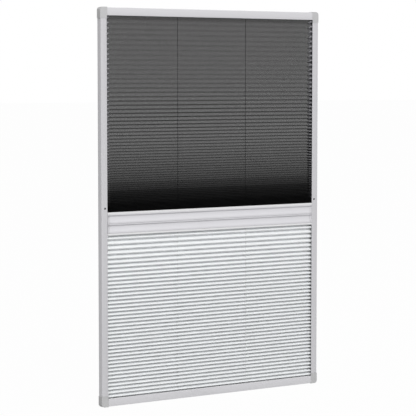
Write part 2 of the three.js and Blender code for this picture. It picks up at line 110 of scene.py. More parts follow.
class SheetSettings(bpy.types.PropertyGroup):
    """Sizes of the two pleated sheets."""

    mesh_pleats: count("Mesh pleats", "Pleats in the insect mesh", 63)
    mesh_fold: metres("Mesh fold", "Width of one leg of a mesh pleat", 0.015)
    mesh_wall: metres("Mesh thickness", "Thickness of the insect mesh", 0.0003)
    mesh_shares: shares(
        "Mesh pitches", "Pitch from head to bar, as shares of the first", (1, 0.81, 0.56, 0.36, 0.18))
    mesh_drop: number("Mesh drop", "Share of a pitch from a front crease down to the back one", 0.4)
    shade_pleats: count("Shade pleats", "Pleats in the shade", 42)
    shade_fold: metres("Shade fold", "Width of one leg of a shade pleat", 0.0148)
    shade_wall: metres("Shade thickness", "Thickness of the shade fabric", 0.0004)
    shade_shares: shares(
        "Shade pitches", "Pitch from bar to foot, as shares of the first", (1, 0.785, 0.745, 0.73, 0.76))
    shade_drop: number("Shade drop", "Share of a pitch from a back crease down to the front one", 0.64)
    crease: metres("Crease", "Length of leg that rounds into a crease", 0.0006)
    hole: metres("Cord hole", "Half width of a cord hole", 0.00068)
    hole_reach: metres("Hole reach", "Half length of a cord hole, across the sheet", 0.0009)
    selvedge: metres("Selvedge", "Width of the closed edge at either side of the insect mesh", 0.018)
    selvedge_fade: metres("Selvedge fade", "Width over which the mesh turns into its closed edge", 0.0045)
    stile_reach: metres(
        "Stile reach", "How far the sheets reach on into the stiles, past the screws", 0.0032)
    crease_reach: metres(
        "Crease reach", "How far the creases reach on past the cords in the stiles", 0.0038)
    cord_room: metres(
        "Cord room", "Distance from a cord's middle at which the creases may reach past it", 0.00135)
    screw_gap: metres(
        "Screw gap", "Height above the screws from which the mesh reaches past them", 0.003)
    column_step: metres("Column step", "Spacing of the grid along a pleat", 0.024)
    waviness: metres("Waviness", "How far a crease strays from its level", 0.00005)
    long_wave: metres("Long wave", "Length of the slower wave along a crease", 0.55)
    short_wave: metres("Short wave", "Length of the quicker wave along a crease", 0.19)


class NetSettings(bpy.types.PropertyGroup):
    """How much light the insect mesh lets through, its painted light and shade, and the painted light on its
    closed edge.
    """

    opening: number("Opening", "Share of light that a gap in the widest pleats lets through", 0.475)
    open_pitches: shares(
        "Open pitches", "Shares of the widest pitch where light begins to pass, and passes in full",
        (0.23, 0.66))
    # Painted light and shade on the legs that face up and down
    contrast: shares(
        "Contrast", "Contrast of legs that face up or down, in open and in half closed pleats",
        (0.08, 0.54))
    closing: shares(
        "Closing", "Loss of pitch at which the contrast begins to rise, and is full", (0.1, 0.3))
    step_pitches: shares(
        "Step pitches", "Shares of the widest pitch where the net's tone steps, near the bar",
        (0.405, 0.354, 0.285))
    step_tones: shares(
        "Step tones", "Tone above each of these pitches, and at last below them all",
        (1.03, 0.8, 0.5, 0.8))
    head_tone: number("Head tone", "Share of its light that passes right below the head strip", 0.4)
    head_fade: metres("Head fade", "Height over which the net below the head strip opens", 0.036)
    # Painted light: legs that face down are painted this much lighter in the closed edge
    painted_edge_lift: number("Selvedge lift", "How much paler legs that face down are in the edge", 6.0)


class CordSettings(bpy.types.PropertyGroup):
    """Sizes of the tension cords."""

    diameter: metres("Cord diameter", "Thickness of a braided cord", 0.0012)
    bend: metres("Cord bend", "Radius where a cord turns along its bar", 0.003)
    outlet: metres("Cord outlet", "Radius where a cord turns into a stile", 0.0026)
    sides: count("Cord sides", "Facets round a cord", 12)
    step: metres("Cord step", "Spacing of the rings along a straight cord", 0.006)
    bend_rings: count("Bend rings", "Rings in each bend of a cord", 8)
    bar_rings: count("Bar rings", "Rings of a cord along its bar", 60)


class ScrewSettings(bpy.types.PropertyGroup):
    """Sizes of the fixing screws."""

    head_height: metres("Head height", "Height of a screw's head", 0.001)
    shank: metres("Shank radius", "Radius of a screw over its thread", 0.0015)
    slot_half: metres("Recess half width", "Half the width of an arm of the cross recess", 0.00038)
    recess_reach: metres("Recess reach", "Length of an arm of the cross recess", 0.0019)
    recess_end: metres("Recess end", "Length over which an arm of the recess runs out", 0.0005)
    recess_depth: metres("Recess depth", "Depth of the cross recess", 0.0011)
    thread_pitch: metres("Thread pitch", "Distance between two turns of the thread", 0.0011)
    thread_height: metres("Thread height", "Height of the thread's ridge", 0.00028)
    tip: metres("Tip", "Length of the pointed tip", 0.001)


class LookSettings(bpy.types.PropertyGroup):
    """Colours of the screen and of the picture."""

    coating: colour("Stile coating", "Powder coat of the stiles", (0.665, 0.66, 0.68))
    # Painted light: the rails get the stiles' powder coat made lighter, for the light that falls on them
    lit_rail_coating: colour("Rail coating", "Powder coat of the rails", (0.715, 0.71, 0.73))
    bar_coating: colour("Bar coating", "Powder coat of the handle bars", (0.725, 0.72, 0.745))
    strip: colour("Clip strip", "Bright strip that holds a sheet to its bar", (0.84, 0.84, 0.85))
    moulding: colour("Mouldings", "Plastic of the corner connectors", (0.60, 0.60, 0.605))
    cap: colour("End caps", "Plastic of the bars' end caps", (0.69, 0.685, 0.71))
    fitting: colour("Fittings", "Plastic of eyelets, stops and cleats", (0.78, 0.78, 0.79))
    net: colour("Insect mesh", "Threads of the insect mesh", (0.011, 0.011, 0.0115))
    shade: colour("Shade", "Fabric of the shade", (0.94, 0.955, 0.965))
    net_cord: colour("Black cord", "Cord of the insect mesh", (0.012, 0.012, 0.013))
    shade_cord: colour("White cord", "Cord of the shade", (0.86, 0.86, 0.85))
    screw: colour("Screw", "Steel of the fixing screws", (0.02, 0.02, 0.022))
    floor: colour("Floor", "Floor under the screen", (0.5, 0.5, 0.5))


class StageSettings(bpy.types.PropertyGroup):
    """Camera, lamp and floor."""

    camera_place: FloatVectorProperty(
        name="Camera", description="Where the camera stands", subtype="XYZ",
        default=(-2.9396, -4.5314, 0.9875))
    camera_turn: FloatProperty(
        name="Turn", description="Heading to the right of +Y", default=math.radians(32.842), subtype="ANGLE")
    camera_dip: FloatProperty(
        name="Dip", description="Angle below level", default=math.radians(4.25), subtype="ANGLE")
    lens: number("Lens", "Focal length in mm", 150.27)
    sensor: number("Sensor", "Width of the camera's sensor in mm", 36.0)
    lamp_place: FloatVectorProperty(
        name="Lamp", description="Where the lamp stands", default=(-2.45, -7.1, 7.13), subtype="XYZ")
    lamp_aim: FloatVectorProperty(
        name="Lamp aim", description="Point that the lamp faces", default=(0, 0, 0.6), subtype="XYZ")
    lamp: number("Lamp power", "Power of the lamp in watts", 635.0)
    lamp_width: metres("Lamp width", "Width of the round lamp", 5.3)
    ambient: number("Ambient", "Light from all round", 0.33)
    floor_glow: number("Floor glow", "Share of plain white that the floor shows", 0.98)
    floor_half: metres("Floor half size", "Half the floor's side", 60.0)
    floor_gap: metres("Floor gap", "Gap between the floor and the screen's foot", 0.0002)


def settings(kind):
    """One group of the scene's settings: sheets, net, cords, screws, looks or stage."""
    return getattr(bpy.context.scene, f"screen_{kind}")


def sheet_size(kind, size):
    """A size that the mesh and the shade have each: pleats, fold, wall, shares or drop."""
    return getattr(settings("sheets"), f"{kind}_{size}")


def corners_of(node):
    """Lowest and highest corner round a CAD node, as arrays."""
    low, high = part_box(node)
    return np.array(low), np.array(high)


def grid_quads(rows, columns, closed_columns=False):
    """Corner numbers of a grid's quads, row by row, with its columns closed on themselves or not."""
    wide = columns if closed_columns else columns - 1
    row = np.arange(rows - 1)[:, None] * columns
    left = np.arange(wide)[None, :]
    right = (left + 1) % columns
    return np.stack([row + left, row + right, row + columns + right, row + columns + left], -1)


def mesh_piece(name, points, faces, looks, body=None):
    """A new piece from an array of points and a list of faces, riding on a body."""
    mesh = bpy.data.meshes.new(name)
    mesh.from_pydata(np.asarray(points, float).reshape(-1, 3).tolist(), [], faces)
    mesh.validate()
    mesh.update()
    piece = bpy.data.objects.new(name, mesh)
    bpy.context.scene.collection.objects.link(piece)
    mesh.materials.append(looks)
    mesh.polygons.foreach_set("use_smooth", np.ones(len(mesh.polygons), bool))
    if body:
        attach(piece, body)
    return piece


def keep_sharp_above(piece, degrees):
    """Edges sharper than an angle stay sharp, and the rest of the piece is smooth."""
    piece.data.set_sharp_from_angle(angle=math.radians(degrees))


def corner_vertices(mesh):
    """The vertex number at each corner of a mesh's faces."""
    corners = np.empty(len(mesh.loops), np.int32)
    mesh.loops.foreach_get("vertex_index", corners)
    return corners


def set_uv(mesh, places):
    """Gives a mesh a UV map, from a place for each corner of its faces."""
    layer = mesh.uv_layers.new(name="UVMap")
    layer.data.foreach_set("uv", places.astype(np.float32).ravel())


def add_node(tree, kind, inputs=None, **properties):
    """Adds a node. inputs maps a socket's name or number to a value, or to another node's output."""
    made = tree.nodes.new(kind)
    for key, value in properties.items():
        setattr(made, key, value)
    for key, value in (inputs or {}).items():
        if isinstance(value, bpy.types.NodeSocket):
            tree.links.new(value, made.inputs[key])
        else:
            made.inputs[key].default_value = value
    return made


def math_node(tree, operation, first, second=0.0, **properties):
    inputs = {0: first, 1: second}
    return add_node(tree, "ShaderNodeMath", inputs, operation=operation, **properties).outputs[0]


def weighted_sum(tree, first, first_weight, second, second_weight):
    """Two values added up, each by its own weight."""
    first = math_node(tree, "MULTIPLY", first, first_weight)
    second = math_node(tree, "MULTIPLY", second, second_weight)
    return math_node(tree, "ADD", first, second)


def mapped(tree, value, low, high, to_low, to_high, smooth=False):
    """A value in one range carried into another, and held at its ends."""
    return add_node(
        tree, "ShaderNodeMapRange",
        {"Value": value, "From Min": low, "From Max": high, "To Min": to_low, "To Max": to_high},
        interpolation_type="SMOOTHSTEP" if smooth else "LINEAR").outputs[0]


def noise(tree, scale, detail=3.0, stretch=(1, 1, 1)):
    """Noise in Object coordinates. stretch scales each axis, so that a pattern runs along a small one."""
    place = add_node(tree, "ShaderNodeTexCoord").outputs["Object"]
    place = add_node(
        tree, "ShaderNodeMapping", {"Vector": place, "Scale": [scale * share for share in stretch]})
    return add_node(
        tree, "ShaderNodeTexNoise",
        {"Vector": place.outputs[0], "Scale": 1.0, "Detail": detail, "Roughness": 0.5}).outputs["Fac"]


def uv_place(tree):
    """Both UV coordinates: across and down a sheet, or round and along a cord."""
    place = add_node(tree, "ShaderNodeUVMap").outputs[0]
    return add_node(tree, "ShaderNodeSeparateXYZ", {0: place}).outputs[:2]


def attribute(tree, name):
    return add_node(tree, "ShaderNodeAttribute", attribute_name=name).outputs["Fac"]


def tinted(tree, base, amount, dark, light):
    """A colour that turns darker and lighter with an amount from 0 to 1."""
    ends = [tuple(channel * share for channel in base) + (1.0,) for share in (dark, light)]
    return add_node(
        tree, "ShaderNodeMix", {0: amount, 6: ends[0], 7: ends[1]}, data_type="RGBA").outputs[2]


def bump(tree, shader, height, strength, distance):
    made = add_node(
        tree, "ShaderNodeBump", {"Height": height, "Strength": strength, "Distance": distance})
    tree.links.new(made.outputs[0], shader.inputs["Normal"])


def new_looks(name, roughness, specular=0.5, metallic=0.0, sheen=0.0):
    """A material with a Principled shader whose even values are set on its own sockets."""
    looks = bpy.data.materials.new(name)
    looks.use_nodes = True
    shader = looks.node_tree.nodes["Principled BSDF"]
    shader.inputs["Roughness"].default_value = roughness
    shader.inputs["Specular IOR Level"].default_value = specular
    shader.inputs["Metallic"].default_value = metallic
    shader.inputs["Sheen Weight"].default_value = sheen
    return looks, looks.node_tree, shader


def coated_extrusion(name, base, along, metallic=0.35, line_scale=900.0, line_stretch=600.0):
    """Powder coat on extruded aluminium: fine orange peel, and faint die lines along one axis."""
    looks, tree, shader = new_looks(name, 0.75, specular=0.45, metallic=metallic)
    stretch = [1 / line_stretch if axis == along else 1 for axis in "XYZ"]
    die_lines = noise(tree, line_scale, stretch=stretch)
    cloud = noise(tree, 9.0)
    peel = noise(tree, 1600.0, detail=1.0)
    tone = weighted_sum(tree, die_lines, 0.45, cloud, 0.55)
    tree.links.new(tinted(tree, base, tone, 0.94, 1.06), shader.inputs["Base Color"])
    tree.links.new(mapped(tree, cloud, 0.3, 0.7, 0.70, 0.82), shader.inputs["Roughness"])
    bump(tree, shader, weighted_sum(tree, peel, 1.0, die_lines, 0.8), 0.22, 0.00008)
    return looks


def moulded_plastic(name, base, grain=2200.0):
    """Moulded plastic: spark-eroded grain, and a slightly uneven tone."""
    looks, tree, shader = new_looks(name, 0.5, specular=0.4)
    fine = noise(tree, grain, detail=2.0)
    cloud = noise(tree, 30.0)
    tree.links.new(tinted(tree, base, cloud, 0.95, 1.05), shader.inputs["Base Color"])
    tree.links.new(mapped(tree, fine, 0.3, 0.7, 0.44, 0.6), shader.inputs["Roughness"])
    bump(tree, shader, fine, 0.3, 0.00006)
    return looks


def thread_mask(tree, along, pitch, share, blur=0.3):
    """1 on a thread and 0 in the gap beside it, for threads that repeat along one coordinate."""
    turn = math_node(tree, "FRACT", math_node(tree, "MULTIPLY", along, 1.0 / pitch))
    off_centre = math_node(tree, "ABSOLUTE", math_node(tree, "SUBTRACT", turn, 0.5))
    half = share / 2
    return mapped(tree, off_centre, half * (1 - blur), half * (1 + blur), 1.0, 0.0, smooth=True)


def insect_net(name, base, pitch=0.0009, share=0.3, thread_cover=0.6, painted_edge_light_gain=13.0):
    """Black woven net: threads both ways cover a part of the light, and the gaps let more through.

    How much each gap lets through comes from the mesh's own gap_cover attribute, which rises where
    the pleats lie close, because there the eye meets the net at a flat angle, and which also carries
    the net's painted light and shade. The selvedge attribute carries painted light on the closed edge
    of the net, which runs in the stiles: its colour is raised to stand in for light passing the net.
    """
    looks, tree, shader = new_looks(name, 0.75, specular=0.06)
    warp, weft = [thread_mask(tree, along, pitch, share) for along in uv_place(tree)]
    thread = math_node(tree, "MULTIPLY", math_node(tree, "MAXIMUM", warp, weft), thread_cover)
    gap_open = math_node(tree, "SUBTRACT", 1.0, attribute(tree, "gap_cover"))
    light = math_node(tree, "MULTIPLY", gap_open, math_node(tree, "SUBTRACT", 1.0, thread))
    tree.links.new(math_node(tree, "SUBTRACT", 1.0, light, use_clamp=True), shader.inputs["Alpha"])
    # Painted light: the closed edge's colour is raised to stand in for light that passes the net
    painted_light_gain = math_node(tree, "MULTIPLY", attribute(tree, "selvedge"), painted_edge_light_gain)
    painted_light_gain = math_node(tree, "ADD", painted_light_gain, 1.0)
    dusty = tinted(tree, base, noise(tree, 14.0), 0.85, 1.15)
    painted_lighter = add_node(tree, "ShaderNodeVectorMath", {0: dusty, "Scale": painted_light_gain}, operation="SCALE")
    tree.links.new(painted_lighter.outputs[0], shader.inputs["Base Color"])
    bump(tree, shader, thread, 0.4, 0.0001)
    return looks


def woven_shade(name, base, pitch=0.00045):
    """White woven fabric: a fine plain weave, soft clouding, and a slight sheen."""
    looks, tree, shader = new_looks(name, 0.85, specular=0.25, sheen=0.15)
    turn = 2 * math.pi / pitch
    warp, weft = [
        math_node(tree, "SINE", math_node(tree, "MULTIPLY", along, turn)) for along in uv_place(tree)]
    weave = math_node(tree, "MULTIPLY", warp, weft)
    tone = weighted_sum(tree, noise(tree, 22.0), 0.8, weave, 0.1)
    tree.links.new(tinted(tree, base, tone, 0.96, 1.03), shader.inputs["Base Color"])
    bump(tree, shader, weave, 0.25, 0.00006)
    return looks


def braided_cord(name, base, specular, strands=4.0, lay=0.0022):
    """Braided cord: two sets of strands that cross, with painted shade as dark lines where they dip."""
    looks, tree, shader = new_looks(name, 0.7, specular=specular)
    around, along = uv_place(tree)
    round_turn = math_node(tree, "MULTIPLY", around, 2 * math.pi * strands)
    along_turn = math_node(tree, "MULTIPLY", along, 2 * math.pi / lay)
    left, right = [
        math_node(tree, "SINE", math_node(tree, way, round_turn, along_turn))
        for way in ("ADD", "SUBTRACT")]
    braid_relief_and_shade = mapped(tree, math_node(tree, "MAXIMUM", left, right), -0.5, 1.0, 0.0, 1.0)
    # Painted shade: the colour darkens where the strands dip
    tree.links.new(tinted(tree, base, braid_relief_and_shade, 0.6, 1.1), shader.inputs["Base Color"])
    bump(tree, shader, braid_relief_and_shade, 0.5, 0.0001)
    return looks


def screw_steel(name, base):
    """Dark passivated steel with fine turning marks."""
    looks, tree, shader = new_looks(name, 0.4, metallic=0.9)
    marks = noise(tree, 1200.0, stretch=(1, 0.25, 1))
    tree.links.new(tinted(tree, base, marks, 0.8, 1.2), shader.inputs["Base Color"])
    tree.links.new(mapped(tree, marks, 0.3, 0.7, 0.3, 0.5), shader.inputs["Roughness"])
    return looks


def finish_of(kind):
    """A finish by name, made once and then shared."""
    made = bpy.data.materials.get(kind)
    if made:
        return made
    looks = settings("looks")
    makers = {
        "coated_stile": lambda: coated_extrusion(kind, looks.coating, "Z"),
        "coated_rail": lambda: coated_extrusion(kind, looks.lit_rail_coating, "X"),
        "coated_bar": lambda: coated_extrusion(kind, looks.bar_coating, "X", metallic=0.5),
        "clip_strip": lambda: coated_extrusion(kind, looks.strip, "X"),
        "moulding": lambda: moulded_plastic(kind, looks.moulding),
        "cap_moulding": lambda: moulded_plastic(kind, looks.cap),
        "fitting": lambda: moulded_plastic(kind, looks.fitting, grain=3500.0),
        "insect_net": lambda: insect_net(kind, looks.net),
        "woven_shade": lambda: woven_shade(kind, looks.shade),
        "braided_black_cord": lambda: braided_cord(kind, looks.net_cord, specular=0.05),
        "braided_white_cord": lambda: braided_cord(kind, looks.shade_cord, specular=0.3),
        "dark_steel": lambda: screw_steel(kind, looks.screw),
    }
    return makers[kind]()


def smooth_solid_group(join_gap=2e-6, flat_below=38):
    """Nodes that join a CAD solid's facets and smooth all edges flatter than a limit in degrees."""
    group = bpy.data.node_groups.get("smooth_solid")
    if group:
        return group
    group = bpy.data.node_groups.new("smooth_solid", "GeometryNodeTree")
    group.interface.new_socket("Geometry", in_out="INPUT", socket_type="NodeSocketGeometry")
    group.interface.new_socket("Geometry", in_out="OUTPUT", socket_type="NodeSocketGeometry")
    start = add_node(group, "NodeGroupInput")
    joined = add_node(
        group, "GeometryNodeMergeByDistance", {"Geometry": start.outputs[0], "Distance": join_gap})
    faces = add_node(
        group, "GeometryNodeSetShadeSmooth", {"Geometry": joined.outputs[0], "Shade Smooth": True})
    angle = add_node(group, "GeometryNodeInputMeshEdgeAngle").outputs["Unsigned Angle"]
    flat = add_node(
        group, "FunctionNodeCompare", {0: angle, 1: math.radians(flat_below)},
        data_type="FLOAT", operation="LESS_THAN")
    edges = add_node(
        group, "GeometryNodeSetShadeSmooth",
        {"Geometry": faces.outputs[0], "Shade Smooth": flat.outputs[0]}, domain="EDGE")
    add_node(group, "NodeGroupOutput", {0: edges.outputs[0]})
    return group


def dress_node(name, finish):
    """Gives a CAD solid that keeps its shape a finish and smooth curves."""
    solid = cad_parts[name]
    looks = finish_of(finish)
    if not solid.material_slots:
        solid.data.materials.append(looks)
    for slot in solid.material_slots:
        slot.material = looks
    solid.modifiers.new("smooth_solid", "NODES").node_group = smooth_solid_group()


def pitches_of(pleats, table, height):
    """Pitches of the pleats: the table's shares, read evenly along them and scaled to the height."""
    at = np.linspace(0, len(table) - 1, pleats)
    pitches = np.interp(at, np.arange(len(table)), np.array(table))
    return pitches / pitches.sum() * height


def crease_line(kind, first_side):
    """Creases of a pleated sheet from top to bottom, as (y, z), and each one's share of the first pitch.

    A pleat of pitch p and leg width f reaches sqrt(f^2 - p^2 / 4) / 2 to either side of the middle.
    Its first crease lies the drop's share of the pitch below the one before it, on first_side (1 is
    the back, -1 the front), and its second crease a whole pitch below, on the other side.
    The first and the last leg lie level, against the strips that hold the sheet.
    """
    low, high = corners_of(f"{kind}_pleats")
    wall, drop = sheet_size(kind, "wall"), sheet_size(kind, "drop")
    top = high[2] - wall / 2
    pitches = pitches_of(
        sheet_size(kind, "pleats"), sheet_size(kind, "shares"), high[2] - low[2] - wall)
    reach = np.sqrt(sheet_size(kind, "fold") ** 2 - pitches ** 2 / 4) / 2 * first_side
    levels = top - np.cumsum(pitches)
    y = np.stack([reach, -reach], 1).ravel()
    z = np.stack([levels + pitches * (1 - drop), levels], 1).ravel()
    y = np.concatenate([[reach[0], -reach[0]], y, [reach[-1]]])
    z = np.concatenate([[top, top], z, [levels[-1]]])
    closeness = np.repeat(pitches / pitches[0], 2)
    closeness = np.concatenate([[1.0, 1.0], closeness, closeness[-1:]])
    return np.stack([y, z], 1), closeness


def leg_rows(creases, lane, sheets):
    """Points along the legs, seven to a leg: the crease, and then six stations on the leg.

    Two stations lie a rounding away from the creases, and four bound the holes on both lanes, at
    y = +-(lane +- hole_reach). A rounded crease keeps the share hold of its sharp place, and for
    the rest it is drawn in to the middle of the stations beside it.
    Returns the points, and each point's leg and share along the leg.
    """
    hold = 0.7
    step = np.diff(creases, axis=0)
    length = np.linalg.norm(step, axis=1)
    side = np.sign(creases[:-1, :1])
    far, close = lane + sheets.hole_reach, lane - sheets.hole_reach
    crossing = (side * np.array([[far, close, -close, -far]]) - creases[:-1, :1]) / step[:, :1]
    near = (sheets.crease / length)[:, None]
    along = np.concatenate([near * 0, near, crossing, 1 - near], 1)
    points = creases[:-1, None, :] + along[:, :, None] * step[:, None, :]
    beside = (points[:-1, -1] + points[1:, 1]) / 2
    points[1:, 0] = hold * creases[1:-1] + (1 - hold) * beside
    leg = np.repeat(np.arange(len(step)), along.shape[1])
    points = np.concatenate([points.reshape(-1, 2), creases[-1:]])
    return points, np.append(leg, len(step) - 1), np.append(along.ravel(), 1.0)


def column_places(half, columns, sheets):
    """Places of the grid's columns along X: even ones, the edges of the cord holes and the selvedges."""
    even = np.linspace(-half, half, int(round(2 * half / sheets.column_step)) + 1)
    inner = half - sheets.selvedge
    edges = [column + side * sheets.hole for column in columns for side in (-1, 1)]
    edges += [side * place for place in (inner, inner + sheets.selvedge_fade) for side in (-1, 1)]
    edges = np.array(edges)
    even = even[np.abs(even[:, None] - edges[None, :]).min(1) > 2 * sheets.hole]
    return np.sort(np.concatenate([even, edges]))


def crease_stray(creases, x, sheets, seed):
    """How far each crease strays up or down along X: two slow waves of its own, nil at the held ends."""
    draw = np.random.default_rng(seed)
    slow, quick = draw.uniform(0, 2 * math.pi, (2, creases, 1))
    slow = 0.6 * np.sin(x * 2 * math.pi / sheets.long_wave + slow)
    quick = 0.4 * np.sin(x * 2 * math.pi / sheets.short_wave + quick)
    stray = sheets.waviness * (slow + quick) * draw.uniform(0.3, 1.0, (creases, 1))
    stray[:2] = 0
    stray[-2:] = 0
    return stray


def end_reach(section, lane, sheets):
    """How far a sheet's ends reach on into the stiles, row by row.

    They do so where they clear the fixing screws, and the creases, which pass in front of the cords
    and behind them, reach further. A sheet that ends below the screws clears them all along.
    """
    screw_top = corners_of("left_fixing_screw")[1][2]
    y, z = section[:, :1], section[:, 1:]
    clears_screws = (z > screw_top + sheets.screw_gap) | (z.max() < screw_top)
    past_cords = np.abs(y) > lane + sheets.cord_room
    return (sheets.stile_reach + sheets.crease_reach * past_cords) * clears_screws


def cord_hole_quads(section, x, places, sheets):
    """True for each of the grid's quads that a cord passes: the one across its lane and its column."""
    row_y = (section[:-1, 0] + section[1:, 0]) / 2
    row_reach = np.abs(section[:-1, 0] - section[1:, 0])
    middle = (x[:-1] + x[1:]) / 2
    hole = np.zeros((len(row_y), len(middle)), bool)
    for place in places:
        rows = (np.abs(row_y - place[1]) < sheets.hole_reach / 4) & (row_reach > sheets.hole_reach)
        hole |= rows[:, None] & (np.abs(middle - place[0]) < sheets.hole)
    return hole


def pleated_sheet(name, kind, looks, seed, first_side):
    """The mesh or the shade in the place of its CAD node: a grid of legs by columns, with cord holes.

    Every point is its leg's own section point, moved by the leg's two creases' stray in proportion
    to its share along the leg. Pleats closer than full_stray of the first pitch stray less.
    Returns the sheet, each vertex's share of the first pitch and whether it faces up, and the
    sheet's flat size.
    """
    full_stray = 2 / 3
    sheets = settings("sheets")
    half = corners_of(f"{kind}_pleats")[1][0]
    places = [np.mean(corners_of(f"{kind}_cord_{cord}_pleat_run"), axis=0) for cord in (1, 2)]
    lane = abs(places[0][1])
    creases, closeness = crease_line(kind, first_side)
    section, leg, along = leg_rows(creases, lane, sheets)
    x = column_places(half, [place[0] for place in places], sheets)
    stray = crease_stray(len(creases), x[None, :], sheets, seed)
    stray *= np.minimum(1, closeness / full_stray)[:, None]
    ends = np.where(np.abs(x) == x.max(), np.sign(x), 0)
    points = np.empty((len(section), len(x), 3))
    points[..., 0] = x + end_reach(section, lane, sheets) * ends
    points[..., 1] = section[:, :1]
    points[..., 2] = section[:, 1:] + (1 - along)[:, None] * stray[leg] + along[:, None] * stray[leg + 1]
    quads = grid_quads(len(section), len(x))[~cord_hole_quads(section, x, places, sheets)]
    sheet = mesh_piece(name, points, quads.tolist(), looks, "frame")
    run = np.concatenate([[0], np.cumsum(np.linalg.norm(np.diff(section, axis=0), axis=1))])
    flat = np.stack(np.broadcast_arrays(points[..., 0], run[:, None]), -1).reshape(-1, 2)
    set_uv(sheet.data, flat[corner_vertices(sheet.data)])
    solidify(sheet, sheet_size(kind, "wall"))
    pitch_share = (1 - along) * closeness[leg] + along * closeness[leg + 1]
    faces_up = creases[leg, 0] > 0
    return sheet, np.repeat(pitch_share, len(x)), np.repeat(faces_up, len(x)), tuple(np.ptp(flat, axis=0))


def solidify(piece, wall):
    made = piece.modifiers.new("wall", "SOLIDIFY")
    made.thickness = wall
    made.offset = 0
    made.use_even_offset = False


def smooth_rise(value, low, high):
    """0 below low, 1 above high, and a smooth rise between."""
    share = np.clip((value - low) / (high - low), 0, 1)
    return share * share * (3 - 2 * share)


def net_light(pitch_share, faces_up, below_head):
    """How light the net looks at each of its points, with its widest pleats as 1.

    The share of light that passes a face rises with the pitch, as a share of the widest. Legs that
    face up are painted lighter and legs that face down darker, as painted light and shade, most of
    all where the pleats are half closed. Near the bar the net's tone changes in steps. Right below
    the head strip the net passes less light.
    """
    net = settings("net")
    light = smooth_rise(pitch_share, *net.open_pitches)
    least, most = net.contrast
    contrast = least + (most - least) * smooth_rise(1 - pitch_share, *net.closing)
    # Painted light and shade: legs that face up are made lighter, legs that face down darker
    light = light * np.where(faces_up, 1 + contrast / 2, 1 - contrast)
    *tones, last_tone = net.step_tones
    light = light * np.select([pitch_share > step for step in net.step_pitches], tones, last_tone)
    head = net.head_tone + (1 - net.head_tone) * smooth_rise(below_head, 0, net.head_fade)
    return np.sqrt(light * head)


def float_attribute(piece, name, values):
    """Gives a piece's vertices a value each, for its material to read."""
    made = piece.data.attributes.new(name, "FLOAT", "POINT")
    made.data.foreach_set("value", values.astype(np.float32))


class SCREEN_OT_insect_mesh(bpy.types.Operator):
    """Hang the black pleated mesh between the head strip and the upper bar"""

    bl_idname = "pleated_screen.insect_mesh"
    bl_label = "Insect mesh"

    def execute(self, context):
        sheets, net = settings("sheets"), settings("net")
        sheet, share, faces_up, flat = pleated_sheet(
            "pleated_insect_mesh", "mesh", finish_of("insect_net"), seed=4, first_side=1)
        low, high = corners_of("mesh_pleats")
        places = np.empty(len(sheet.data.vertices) * 3, np.float32)
        sheet.data.vertices.foreach_get("co", places)
        places = places.reshape(-1, 3)
        light = net_light(share, faces_up, high[2] - places[:, 2])
        inner = high[0] - sheets.selvedge
        selvedge = smooth_rise(np.abs(places[:, 0]), inner, inner + sheets.selvedge_fade)
        # Painted light on the closed edge: it follows the net's painted light and shade, and legs that face
        # down are lifted most
        painted_edge_light = selvedge * light * np.where(faces_up, 1, net.painted_edge_lift)
        float_attribute(sheet, "gap_cover", np.maximum(1 - light * net.opening, selvedge))
        float_attribute(sheet, "selvedge", painted_edge_light)
        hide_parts("mesh_pleats")
        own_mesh(sheet)
        return {"FINISHED"}


class SCREEN_OT_shade(bpy.types.Operator):
    """Stand the white pleated shade between the lower bar and the foot strip"""

    bl_idname = "pleated_screen.shade"
    bl_label = "Shade"

    def execute(self, context):
        sheet, _, _, flat = pleated_sheet(
            "pleated_shade", "shade", finish_of("woven_shade"), seed=9, first_side=-1)
        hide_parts("shade_pleats")
        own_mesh(sheet)
        return {"FINISHED"}


def cord_tube(name, path, looks, body):
    """A closed round tube: a ring of the cord's radius carried along a path in a plane of even y.

    A ring's point is path + radius (cos a Y + sin a (T x Y)), with T the path's direction.
    The UV goes once round the cord from 0 to 1, and along it in metres.
    """
    cords = settings("cords")
    sides = cords.sides
    path = np.asarray(path, float)
    tangent = np.gradient(path, axis=0)
    tangent /= np.linalg.norm(tangent, axis=1)[:, None]
    across = np.array([0.0, 1.0, 0.0])
    beside = np.cross(tangent, across)
    turn = np.linspace(0, 2 * math.pi, sides + 1)[:-1]
    ring = np.cos(turn)[None, :, None] * across + np.sin(turn)[None, :, None] * beside[:, None, :]
    points = path[:, None, :] + cords.diameter / 2 * ring
    last = (len(path) - 1) * sides
    quads = grid_quads(len(path), sides, closed_columns=True).reshape(-1, 4)[:, ::-1].tolist()
    ends = [list(range(sides)), list(range(last + sides - 1, last - 1, -1))]
    piece = mesh_piece(name, points, quads + ends, looks, body)
    run = np.concatenate([[0], np.cumsum(np.linalg.norm(np.diff(path, axis=0), axis=1))])
    corners = corner_vertices(piece.data)
    around = corners % sides / sides
    # The last quad of each ring ends at 1, where the next ring's first one starts at 0
    ring_quads = around[:4 * len(quads)].reshape(-1, 4)
    ring_quads[(ring_quads.max(1) > 0.5)[:, None] & (ring_quads == 0)] = 1
    set_uv(piece.data, np.stack([around, run[corners // sides]], 1))
    keep_sharp_above(piece, degrees=50)
    return piece


def arc(centre, radius, start, end, steps):
    """Points (x, z) of an arc between two angles in degrees, counted from +X towards +Z."""
    angle = np.radians(np.linspace(start, end, steps))
    return np.stack([centre[0] + radius * np.cos(angle), centre[1] + radius * np.sin(angle)], 1)


def straight_run(node):
    """Middle line of a straight upright cord, ring by ring, from its low end to its high end."""
    low, high = corners_of(node)
    rings = int(round((high[2] - low[2]) / settings("cords").step)) + 1
    level = np.linspace(low[2], high[2], rings)
    middle = (low + high) / 2
    return np.stack([np.full(rings, middle[0]), np.full(rings, middle[1]), level], 1)


